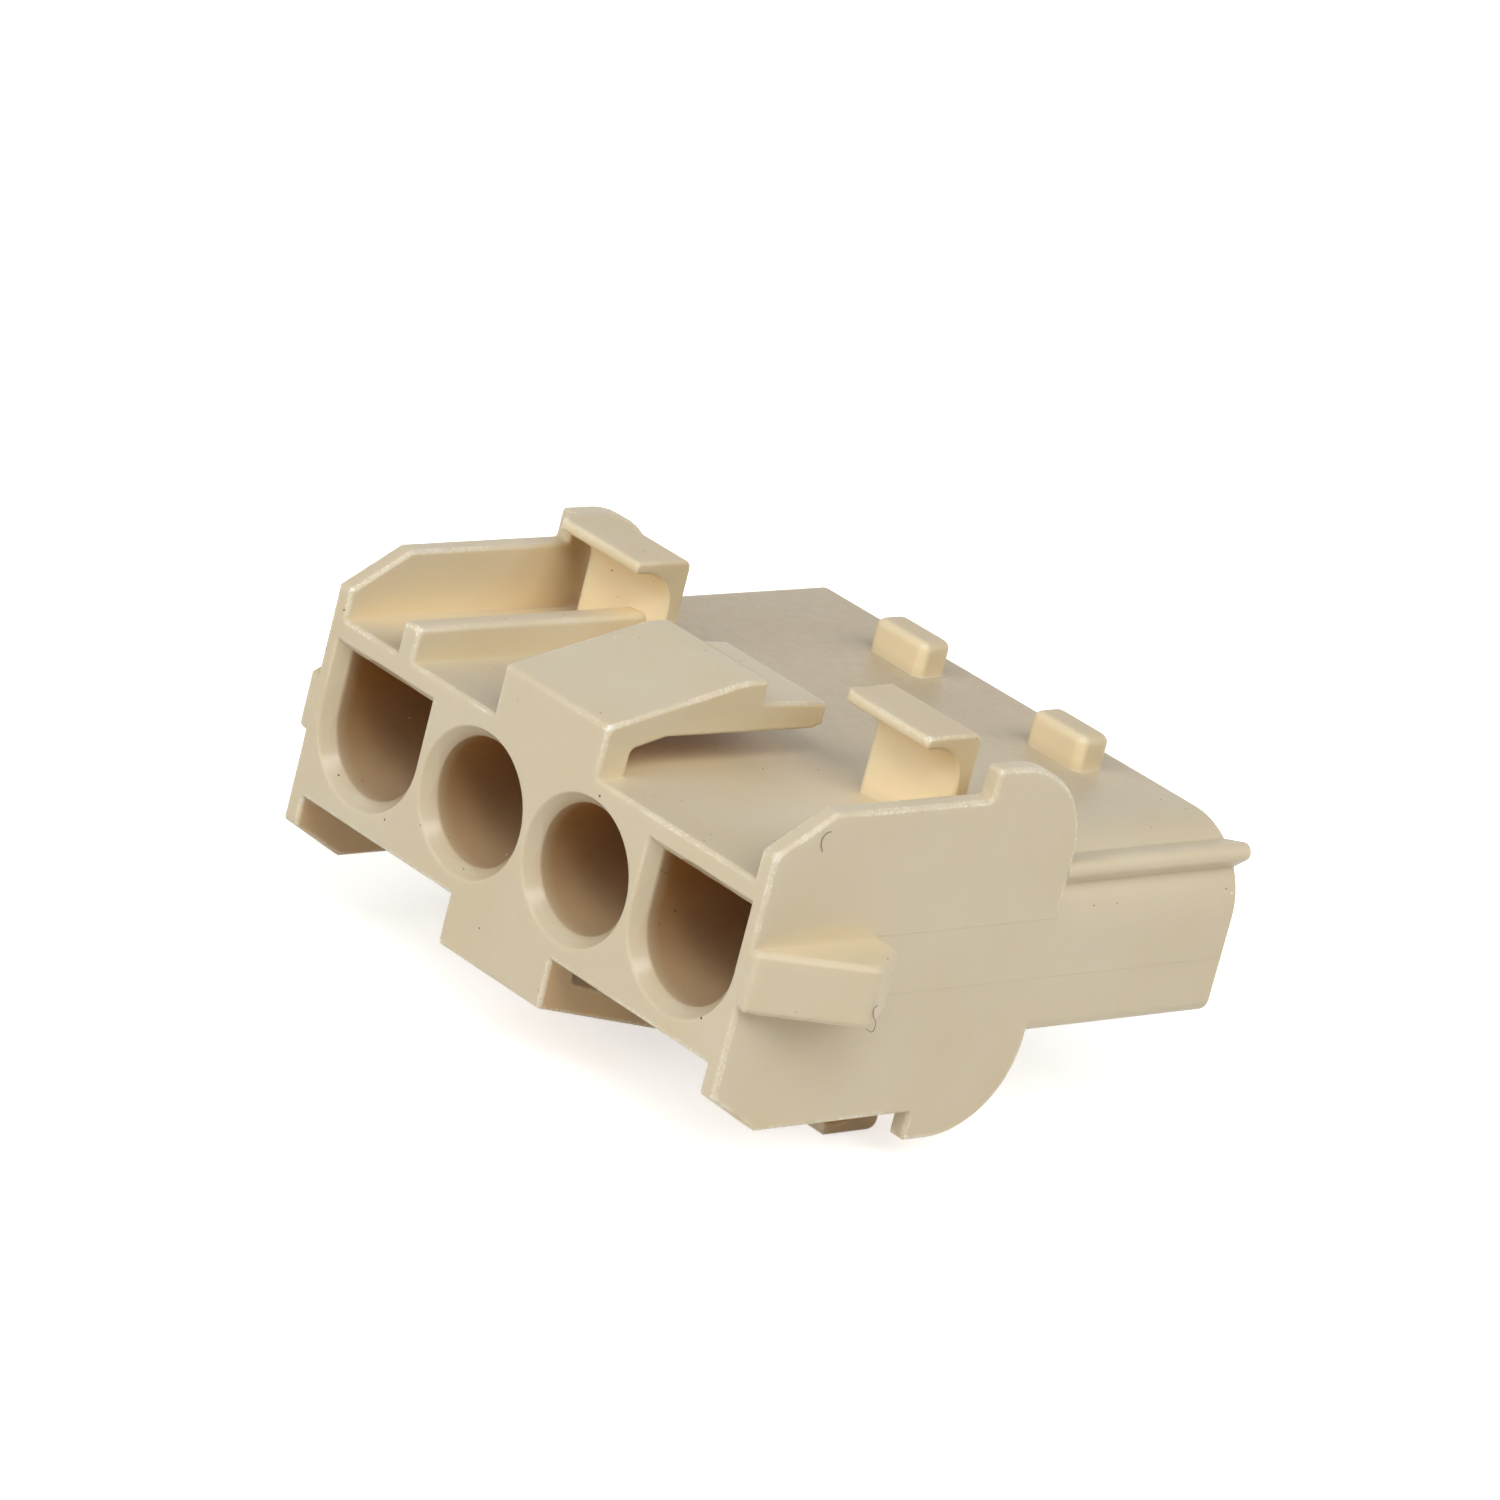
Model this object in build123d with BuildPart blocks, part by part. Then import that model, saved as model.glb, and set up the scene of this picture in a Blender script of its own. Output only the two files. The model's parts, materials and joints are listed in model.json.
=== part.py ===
from build123d import *
import os

# Sizes in millimetres: X along the row of cavities, Y from the mating face to the wire end, Z up
# The origin is the middle of the mating face

# Cavities
cavity_count = 4
cavity_pitch = 6.35
mouth_width = 0.45
mouth_depth = 0.6
mouth_land = 0.29
keyed_drop = 0.04
cavity_depth = 12.5
web_thickness = 2.0
passage_step = 0.83
contact_step = 0.38
contact_depth = 12.15
contact_mouth = 0.3

# Walls and rounds of the body
roof_wall = 1.22
side_wall = 1.045
nose_key_round = 3.35
nose_plain_round = 0.75
nose_floor_round = 0.7
nose_end_bevel = 0.18
edge_bevel = 0.1

# Wings
wing_thickness = 0.83
wing_front_rise = 1.23
wing_slope = 2.7
wing_rise = 2.77
shoulder_front = 10.95
shoulder_rise = 1.23
shoulder_flat = 1.4
shoulder_rear_round = 3.97
shoulder_foot_round = 0.15
shoulder_top_round = 0.15

# Latches
latch_width = 6.2
slot_height = 1.55
slot_root = 1.4
slot_root_round = 0.35
brace_length = 1.75
brace_drop = 0.42
arm_droop = 0.12
latch_front_thickness = 0.53
ridge_start = 6.7
ridge_length = 1.27
ridge_thickness = 2.0
tip_length = 3.55
tip_root_thickness = 1.1
tip_end_thickness = 0.87
tip_round = 0.25
tip_lead = 0.65
tip_lead_rise = 0.2

# Hooks
hook_width = 5.0
hook_overlap = 0.03
hook_gap = 2.37
hook_upper_rise = 4.0
hook_lower_rise = 5.2
hook_lower_advance = 0.1
hook_bevel = 0.08
lip_front = 10.05
lip_depth = 2.95
lip_thickness = 0.5
lip_round = 0.2
lip_corner_round = 0.6
heel_land = 0.08
post_setback = 1.2
post_near_thickness = 1.85
post_far_thickness = 0.75
post_sink = 0.05
curl_near = 0.8
curl_far = 1.6

# Rib on the top left
rib_gap = 3.22
rib_width = 0.97
rib_rise = 1.4
rib_round = 0.25

# Nubs on the nose
nub_centers = (-4.92, 4.55)
nub_width = 3.1
nub_depth = 1.65
nub_setback = 1.8
nub_rise = 1.5
nub_corner_round = 0.42
nub_top_round = 0.38

# Key rib on the round corner of the nose
key_sink = 0.2
key_seat_angle = 45.6
key_root_radius = 0.6
key_length = 0.96
key_lean_angle = 30.0
key_tip_radius = 0.37

# Locking ramps
ramp_half_height = 1.27
ramp_step = 0.35
ramp_height = 2.65
ramp_climb = 4.5
ramp_fall = 2.05
ramp_rear_height = 1.25
ramp_peak_round = 0.9
ramp_edge_bevel = 0.18

# Sizes that follow from the ones above
cavity_radius = cavity_pitch / 2 - mouth_width - mouth_land / 2
keyed_roof = cavity_radius - keyed_drop
passage_radius = cavity_radius - passage_step
contact_radius = cavity_radius - contact_step
cavity_centers = [cavity_pitch * (i - (cavity_count - 1) / 2) for i in range(cavity_count)]
half_height = cavity_radius + roof_wall
half_width = cavity_centers[-1] + cavity_radius + side_wall
body_length = cavity_depth + web_thickness + contact_depth
wing_inner = half_width - wing_thickness
wing_front_reach = half_height + wing_front_rise
wing_reach = half_height + wing_rise
shoulder_reach = wing_reach + shoulder_rise
shoulder_flat_end = shoulder_front + shoulder_flat
front_length = shoulder_flat_end + shoulder_rear_round
wing_rear_reach = shoulder_reach - shoulder_rear_round
nose_start = front_length - edge_bevel
latch_underside = half_height + slot_height
latch_front_reach = latch_underside + latch_front_thickness
ridge_end = ridge_start + ridge_length
ridge_reach = latch_underside + ridge_thickness
tip_end = ridge_end + tip_length
tip_underside = latch_underside - arm_droop
brace_reach = latch_underside - brace_drop
hook_ends = (hook_width - hook_overlap - wing_inner, wing_inner - hook_gap)
hook_rear = lip_front + lip_depth
heel_round = lip_thickness - heel_land
rib_reach = half_height + rib_rise
nub_rear = body_length - nub_setback
nub_reach = half_height + nub_rise
key_seat = Vector(half_width - nose_key_round, half_height - nose_key_round)
key_root = key_seat + Vector(nose_key_round - key_sink, 0).rotate(Axis.Z, key_seat_angle)
key_tip = key_root + Vector(key_length, 0).rotate(Axis.Z, key_lean_angle)
ramp_rear = ramp_climb + ramp_fall

with BuildPart() as housing:
    # Side wings, the same above and below
    for start in (-half_width, wing_inner):
        with BuildSketch(Plane.YZ.offset(start)):
            with BuildLine():
                Polyline(
                    (front_length, wing_rear_reach),
                    (front_length, 0),
                    (0, 0),
                    (0, wing_front_reach),
                    (wing_slope, wing_reach),
                    (shoulder_front, wing_reach),
                    (shoulder_front, shoulder_reach),
                    (shoulder_flat_end, shoulder_reach),
                )
                RadiusArc(
                    (shoulder_flat_end, shoulder_reach),
                    (front_length, wing_rear_reach),
                    shoulder_rear_round,
                )
            make_face()
            mirror(about=Plane.XZ)
            corners = vertices().filter_by(lambda v: abs(v.X - shoulder_front) < edge_bevel)
            feet = corners.filter_by(lambda v: abs(v.Y) < shoulder_reach - edge_bevel)
            fillet(feet, radius=shoulder_foot_round)
            corners = vertices().filter_by(lambda v: abs(v.X - shoulder_front) < edge_bevel)
            tops = corners.filter_by(lambda v: abs(v.Y) > shoulder_reach - edge_bevel)
            fillet(tops, radius=shoulder_top_round)
        extrude(amount=wing_thickness)
        rims = faces(Select.LAST).filter_by(Plane.YZ).edges()
        chamfer(rims.filter_by(lambda e: e.center().Y > edge_bevel), length=edge_bevel)

    # Locking ramps, rounded on every edge that stands clear of the wings
    for side in (-1, 1):
        with BuildSketch(Plane.XY):
            with BuildLine():
                Polyline(
                    (side * wing_inner, 0),
                    (side * (half_width + ramp_step), 0),
                    (side * (half_width + ramp_height), ramp_climb),
                    (side * (half_width + ramp_rear_height), ramp_rear),
                    (side * wing_inner, ramp_rear),
                    close=True,
                )
            make_face()
            fillet(vertices().sort_by(lambda v: side * v.X)[-1], radius=ramp_peak_round)
        extrude(amount=ramp_half_height, both=True)
        rims = edges(Select.LAST).filter_by(lambda e: side * e.center().X > half_width + edge_bevel)
        rims = rims.filter_by(lambda e: abs(e.center().Z) > ramp_half_height - edge_bevel)
        chamfer(rims, length=ramp_edge_bevel)

    # Sprung latches above and below
    with BuildSketch(Plane.YZ.offset(-latch_width / 2)):
        with BuildLine():
            Polyline(
                (slot_root, brace_reach),
                (slot_root, 0),
                (0, 0),
                (0, latch_front_reach),
                (ridge_start, ridge_reach),
                (ridge_end, ridge_reach),
                (ridge_end, latch_underside + tip_root_thickness),
                (tip_end, latch_underside + tip_end_thickness),
                (tip_end, tip_underside + tip_lead_rise),
                (tip_end - tip_lead, tip_underside),
                (slot_root + brace_length, latch_underside),
                close=True,
            )
        make_face()
        mirror(about=Plane.XZ)
        roots = vertices().filter_by(lambda v: abs(v.X - slot_root) < edge_bevel)
        fillet(roots, radius=slot_root_round)
    extrude(amount=latch_width)
    fillet(faces(Select.LAST).sort_by(Axis.Y)[-2:].edges().filter_by(Axis.Z), radius=tip_round)
    rims = edges().filter_by(lambda e: abs(abs(e.center().X) - latch_width / 2) < edge_bevel)
    chamfer(rims.filter_by(lambda e: abs(e.center().Z) > latch_front_reach), length=edge_bevel)

    # Hooks, each a lip on a post whose front slants and whose curl under the lip widens along it
    for up, rise, advance in ((1, hook_upper_rise, 0), (-1, hook_lower_rise, hook_lower_advance)):
        reach = half_height + rise
        under = reach - lip_thickness
        rear = hook_rear - advance
        for end in hook_ends:
            with BuildSketch(Plane.YZ.offset(end - hook_width)):
                with BuildLine():
                    Polyline(
                        (lip_front - advance, up * under),
                        (rear, up * under),
                        (rear, up * reach),
                        (lip_front - advance, up * reach),
                        close=True,
                    )
                make_face()
                fillet(vertices().group_by(Axis.X)[0], radius=lip_round)
                heel = vertices().group_by(Axis.X)[-1].sort_by(lambda v: abs(v.Y))
                fillet(heel[-1], radius=heel_round)
            extrude(amount=hook_width)
            corner = (end - hook_width, lip_front - advance)
            with BuildSketch(Plane.XY.offset(up * (under + reach) / 2)):
                with Locations(corner):
                    Rectangle(lip_corner_round, lip_corner_round, align=Align.MIN)
                    with Locations((lip_corner_round, lip_corner_round)):
                        Circle(lip_corner_round, mode=Mode.SUBTRACT)
            extrude(amount=lip_thickness, both=True, mode=Mode.SUBTRACT)
            for x, foot, curl in (
                (corner[0] + post_setback, rear - post_near_thickness, curl_near),
                (end, rear - post_far_thickness, curl_far),
            ):
                with BuildSketch(Plane.YZ.offset(x)):
                    with BuildLine():
                        Polyline(
                            (foot - curl, up * under),
                            (foot - curl, up * (under + post_sink)),
                            (rear, up * (under + post_sink)),
                            (rear, 0),
                            (foot, 0),
                            (foot, up * (under - curl)),
                        )
                        RadiusArc((foot, up * (under - curl)), (foot - curl, up * under), -up * curl)
                    make_face()
            loft(ruled=True)
            tips = faces().filter_by(Plane.YZ).filter_by(lambda f: abs(f.center().X - end) < edge_bevel)
            rims = tips.edges().filter_by(lambda e: up * e.center().Z > half_height)
            chamfer(rims.filter_by(lambda e: e.bounding_box().size.Z < under), length=hook_bevel)

    # Rib on the top left, running into the post behind it
    with BuildSketch(Plane.XZ):
        with Locations((rib_gap + rib_width / 2 - wing_inner, rib_reach / 2)):
            Rectangle(rib_width, rib_reach)
        fillet(vertices().group_by(Axis.Y)[-1], radius=rib_round)
    extrude(amount=post_far_thickness - hook_rear)

    # Nubs on the nose
    for center in nub_centers:
        with BuildSketch(Plane.XY):
            with Locations((center, nub_rear - nub_depth / 2)):
                RectangleRounded(nub_width, nub_depth, nub_corner_round)
        extrude(amount=nub_reach)
        fillet(faces(Select.LAST).sort_by(Axis.Z)[-1].edges(), radius=nub_top_round)

    # Front block
    with BuildSketch(Plane.XY):
        with Locations((0, front_length / 2)):
            Rectangle(2 * half_width, front_length)
        chamfer(vertices().group_by(Axis.Y)[-1], length=edge_bevel)
    extrude(amount=half_height, both=True)

    # Nose with one large round corner and the key rib on it
    with BuildSketch(Plane.XZ.offset(-nose_start)):
        Rectangle(2 * half_width, 2 * half_height)
        fillet(vertices().group_by(Axis.Y)[-1].sort_by(Axis.X)[-1], radius=nose_key_round)
        fillet(vertices().group_by(Axis.Y)[-1].sort_by(Axis.X)[0], radius=nose_plain_round)
        fillet(vertices().group_by(Axis.Y)[0], radius=nose_floor_round)
    extrude(amount=nose_start - body_length)
    with BuildSketch(Plane.XZ.offset(-nose_start)):
        with Locations((key_root.X, key_root.Y)):
            Circle(key_root_radius)
        with Locations((key_tip.X, key_tip.Y)):
            Circle(key_tip_radius)
        make_hull()
    extrude(amount=nose_start - body_length)
    chamfer(faces().sort_by(Axis.Y)[-1].edges(), length=nose_end_bevel)
    chamfer(faces().filter_by(Plane.XZ).sort_by(Axis.Y)[0].edges(), length=edge_bevel)

    # Cavities with a retaining web and a contact bore behind it
    for center in cavity_centers:
        with BuildSketch(Plane.XZ):
            with Locations((center, 0)):
                Circle(cavity_radius)
            if abs(center) > cavity_pitch:
                with Locations((center, -cavity_radius / 2)):
                    Rectangle(2 * cavity_radius, cavity_radius, mode=Mode.INTERSECT)
                with Locations((center, keyed_roof / 2)):
                    Rectangle(2 * cavity_radius, keyed_roof)
        extrude(amount=-cavity_depth, mode=Mode.SUBTRACT)
        with BuildSketch(Plane.XZ.offset(-cavity_depth)):
            with Locations((center, 0)):
                Circle(passage_radius)
        extrude(amount=-web_thickness, mode=Mode.SUBTRACT)
        with BuildSketch(Plane.XZ.offset(-cavity_depth - web_thickness)):
            with Locations((center, 0)):
                Circle(contact_radius)
        extrude(amount=cavity_depth + web_thickness - body_length, mode=Mode.SUBTRACT)
    front = faces().filter_by(Plane.XZ).sort_by(Axis.Y)[0]
    mouths = [e for w in front.inner_wires() for e in w.edges()]
    chamfer(mouths, length=mouth_width, length2=mouth_depth, reference=front)
    mouths = faces().sort_by(Axis.Y)[-1].inner_wires()
    chamfer([e for w in mouths for e in w.edges()], length=contact_mouth)

os.makedirs("parts", exist_ok=True)
housing.part.label = "housing"
export_step(housing.part, "parts/housing.step")
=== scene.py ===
"""Connector housing in natural nylon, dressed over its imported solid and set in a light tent."""

import json
import logging
import math
from dataclasses import dataclass, field
from enum import Enum
from typing import Any

import bpy
from mathutils import Euler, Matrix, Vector

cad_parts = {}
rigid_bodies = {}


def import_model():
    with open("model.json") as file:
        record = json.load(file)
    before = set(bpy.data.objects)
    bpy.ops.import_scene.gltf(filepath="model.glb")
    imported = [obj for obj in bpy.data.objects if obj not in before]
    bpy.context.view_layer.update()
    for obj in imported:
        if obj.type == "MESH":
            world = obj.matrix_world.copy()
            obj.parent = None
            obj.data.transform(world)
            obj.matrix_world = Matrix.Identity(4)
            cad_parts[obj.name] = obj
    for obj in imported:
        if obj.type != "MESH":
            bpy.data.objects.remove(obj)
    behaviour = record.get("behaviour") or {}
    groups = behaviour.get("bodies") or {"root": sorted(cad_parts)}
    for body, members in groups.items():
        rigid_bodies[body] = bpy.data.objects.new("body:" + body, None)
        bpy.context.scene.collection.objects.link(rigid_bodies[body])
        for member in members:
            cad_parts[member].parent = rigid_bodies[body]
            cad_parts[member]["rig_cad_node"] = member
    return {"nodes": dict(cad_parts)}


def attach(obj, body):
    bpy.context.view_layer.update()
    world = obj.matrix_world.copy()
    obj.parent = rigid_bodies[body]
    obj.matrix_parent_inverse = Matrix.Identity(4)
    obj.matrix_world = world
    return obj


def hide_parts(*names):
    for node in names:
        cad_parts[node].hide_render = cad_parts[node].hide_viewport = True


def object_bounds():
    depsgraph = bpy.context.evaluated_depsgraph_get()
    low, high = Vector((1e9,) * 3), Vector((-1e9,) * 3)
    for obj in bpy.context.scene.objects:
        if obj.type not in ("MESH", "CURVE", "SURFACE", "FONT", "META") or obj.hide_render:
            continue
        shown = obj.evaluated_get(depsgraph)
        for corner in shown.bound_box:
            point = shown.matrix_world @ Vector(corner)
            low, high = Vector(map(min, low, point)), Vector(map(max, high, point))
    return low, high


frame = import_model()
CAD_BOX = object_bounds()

MM = 0.001
BODY = "root"
NODE = "housing"

# The Mix node has its own sockets for each kind of value. These are the ones for colours.
MIX_SHARE, MIX_UNDER, MIX_OVER, MIX_COLOUR = 0, 6, 7, 2

LOG = logging.getLogger("housing_scene")

Rgba = tuple[float, float, float, float]
Point = tuple[float, float, float]
Socket = bpy.types.NodeSocket

# The value at which a ramp is still nothing, then the one at which it is whole.
Span = tuple[float, float]


def linear(code: str) -> Rgba:
    """Turns an sRGB hex colour into linear light.

    Args:
        code: A hash sign and six hex digits.

    Returns:
        Linear red, green and blue, with an alpha of one.
    """
    shares = [int(code[i:i + 2], 16) / 255 for i in (1, 3, 5)]
    red, green, blue = (s / 12.92 if s <= 0.04045 else ((s + 0.055) / 1.055) ** 2.4 for s in shares)
    return red, green, blue, 1.0


def per_metre(size_mm: float) -> float:
    """Gives the texture scale at which one pattern cell measures that many millimetres."""
    return 1.0 / (size_mm * MM)


def add_node(
    tree: bpy.types.NodeTree, kind: str, inputs: dict[str | int, Any] | None = None, **settings: Any
) -> bpy.types.Node:
    """Adds one node, with its settings and its inputs.

    Args:
        tree: The node tree that gets the node.
        kind: Blender's name for the node type.
        inputs: Input names or numbers, each with a value or with the output socket to link.
        **settings: Attributes of the node itself.

    Returns:
        The new node.
    """
    node = tree.nodes.new(kind)
    for name, value in settings.items():
        setattr(node, name, value)
    for name, value in (inputs or {}).items():
        if isinstance(value, Socket):
            tree.links.new(value, node.inputs[name])
        else:
            node.inputs[name].default_value = value
    return node


def deselect_all() -> None:
    """Leaves object mode as the only mode and nothing selected."""
    if bpy.context.mode != "OBJECT":
        bpy.ops.object.mode_set(mode="OBJECT")
    bpy.ops.object.select_all(action="DESELECT")


def pick(piece: bpy.types.Object) -> None:
    """Makes one object the only selected and the active one.

    Args:
        piece: The object that the next operators act on.
    """
    deselect_all()
    piece.select_set(True)
    bpy.context.view_layer.objects.active = piece


class LampRole(Enum):
    """What each lamp of the tent does."""

    SIDE = "Side_softbox"
    KEY = "Key_softbox"
    FRONT = "Front_softbox"
    HIGH = "High_softbox"
    GLINT = "Glint_lamp"
    BACK = "Back_softbox"


@dataclass(frozen=True)
class CavityRow:
    """Where the cavities lie, so that the finish can follow their mouths."""

    count: int = 4
    pitch: float = 6.35 * MM
    mouth_radius: float = 2.58 * MM
    lead_in: float = 0.45 * MM
    lead_in_depth: float = 0.6 * MM

    def from_axis(self, tree: bpy.types.NodeTree, x: Socket) -> Socket:
        """Measures sideways to the nearest cavity's axis.

        Args:
            tree: The material's nodes.
            x: The place along the row.

        Returns:
            The sideways distance.
        """
        across = add_node(tree, "ShaderNodeMath", {0: x, 1: self.pitch / 2}, operation="PINGPONG")
        offset = add_node(
            tree, "ShaderNodeMath",
            {0: self.pitch / 2, 1: across.outputs["Value"]},
            operation="SUBTRACT",
        )
        return offset.outputs["Value"]

    def lead_ins(
        self, tree: bpy.types.NodeTree, offset: Socket, y: Socket, z: Socket
    ) -> tuple[Socket, Socket]:
        """Finds the cavity mouths, where the core pin's fine grooves show.

        Args:
            tree: The material's nodes.
            offset: The sideways distance from the nearest cavity's axis.
            y: The distance behind the mating face.
            z: The height above the axes.

        Returns:
            The distance from that axis, and one on the lead-ins and zero beside them.
        """
        flat = add_node(tree, "ShaderNodeCombineXYZ", {"X": offset, "Y": z})
        radius = add_node(
            tree, "ShaderNodeVectorMath", {0: flat.outputs["Vector"]}, operation="LENGTH"
        ).outputs["Value"]
        ring = add_node(
            tree, "ShaderNodeMath",
            {0: radius, 1: self.mouth_radius + self.lead_in / 2, 2: self.lead_in / 2},
            operation="COMPARE",
        )
        front = add_node(
            tree, "ShaderNodeMath", {0: y, 1: self.lead_in_depth}, operation="LESS_THAN"
        )
        both = add_node(
            tree, "ShaderNodeMath",
            {0: ring.outputs["Value"], 1: front.outputs["Value"]},
            operation="MULTIPLY",
        )
        return radius, both.outputs["Value"]


@dataclass(frozen=True)
class Layout:
    """Where the housing's other forms lie, so that the tints can fade in and out beside them."""

    length: float = 26.65 * MM
    beside_latch: Span = (3.2 * MM, 3.6 * MM)
    behind_latch: Span = (18.0 * MM, 20.0 * MM)
    above_top: Span = (3.8 * MM, 4.3 * MM)
    upstands_from: Span = (8.5 * MM, 11.2 * MM)
    between_wings: Span = (12.3 * MM, 12.1 * MM)
    below_floor: Span = (-3.8 * MM, -4.3 * MM)
    between_feet: Span = (12.7 * MM, 12.5 * MM)
    mottle_across: Span = (14.0 * MM, -1.0 * MM)
    mottle_along: Span = (7.0 * MM, 15.0 * MM)
    mottle_height: Span = (4.1 * MM, 3.9 * MM)
    wing_face: Span = (13.05 * MM, 13.1 * MM)
    behind_ramp: Span = (6.4 * MM, 6.8 * MM)
    slide_half: float = 1.27 * MM


@dataclass(frozen=True)
class SkinPoint:
    """What the finish can tell about a point of the skin, as sockets of its nodes.

    Facing is the normal's part along Y, up its part along Z, and openness is one in the open and
    less in corners.
    """

    tree: bpy.types.NodeTree
    place: Socket
    x: Socket
    y: Socket
    z: Socket
    aside: Socket
    facing: Socket
    up: Socket
    openness: Socket
    offset: Socket
    radius: Socket
    on_lead_in: Socket

    @classmethod
    def read(
        cls, tree: bpy.types.NodeTree, row: CavityRow, reach: float, rays: int
    ) -> "SkinPoint":
        """Adds the nodes that measure a point, all of them on Object coordinates.

        Args:
            tree: The material's nodes.
            row: The cavities to measure from.
            reach: How far the test for openness looks.
            rays: How many rays that test sends out.

        Returns:
            The measures.
        """
        place = add_node(tree, "ShaderNodeTexCoord").outputs["Object"]
        x, y, z = add_node(tree, "ShaderNodeSeparateXYZ", {"Vector": place}).outputs
        aside = add_node(tree, "ShaderNodeMath", {0: x}, operation="ABSOLUTE").outputs["Value"]
        geometry = add_node(tree, "ShaderNodeNewGeometry").outputs
        smooth = add_node(tree, "ShaderNodeSeparateXYZ", {"Vector": geometry["Normal"]})
        facet = add_node(tree, "ShaderNodeSeparateXYZ", {"Vector": geometry["True Normal"]})
        openness = add_node(
            tree, "ShaderNodeAmbientOcclusion", {"Distance": reach}, samples=rays, only_local=True
        ).outputs["AO"]
        offset = row.from_axis(tree, x)
        radius, on_lead_in = row.lead_ins(tree, offset, y, z)
        return cls(
            tree, place, x, y, z, aside, smooth.outputs["Y"], facet.outputs["Z"], openness,
            offset, radius, on_lead_in,
        )

    def faded(self, share: Socket | float, *ramps: tuple[Socket, Span]) -> Socket:
        """Fades a share by ramps, so that it is whole only where all of them are.

        Args:
            share: The share to fade.
            *ramps: A measure each, with the span of its ramp.

        Returns:
            The faded share.
        """
        for value, (none, whole) in ramps:
            ramp = add_node(
                self.tree, "ShaderNodeMapRange",
                {"Value": value, "From Min": none, "From Max": whole},
            )
            share = add_node(
                self.tree, "ShaderNodeMath",
                {0: ramp.outputs["Result"], 1: share},
                operation="MULTIPLY",
            ).outputs["Value"]
        return share


@dataclass(frozen=True)
class PaintedHighlight:
    """One kind of painted highlight on the edges: broken patches, whole where the skin turns
    sharply.
    """

    patch_mm: float
    patches: Span
    turn: Span
    share: float


@dataclass(frozen=True)
class Relief:
    """How deep a pattern goes into the skin and how strongly it is shaded."""

    depth_mm: float
    strength: float


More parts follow.
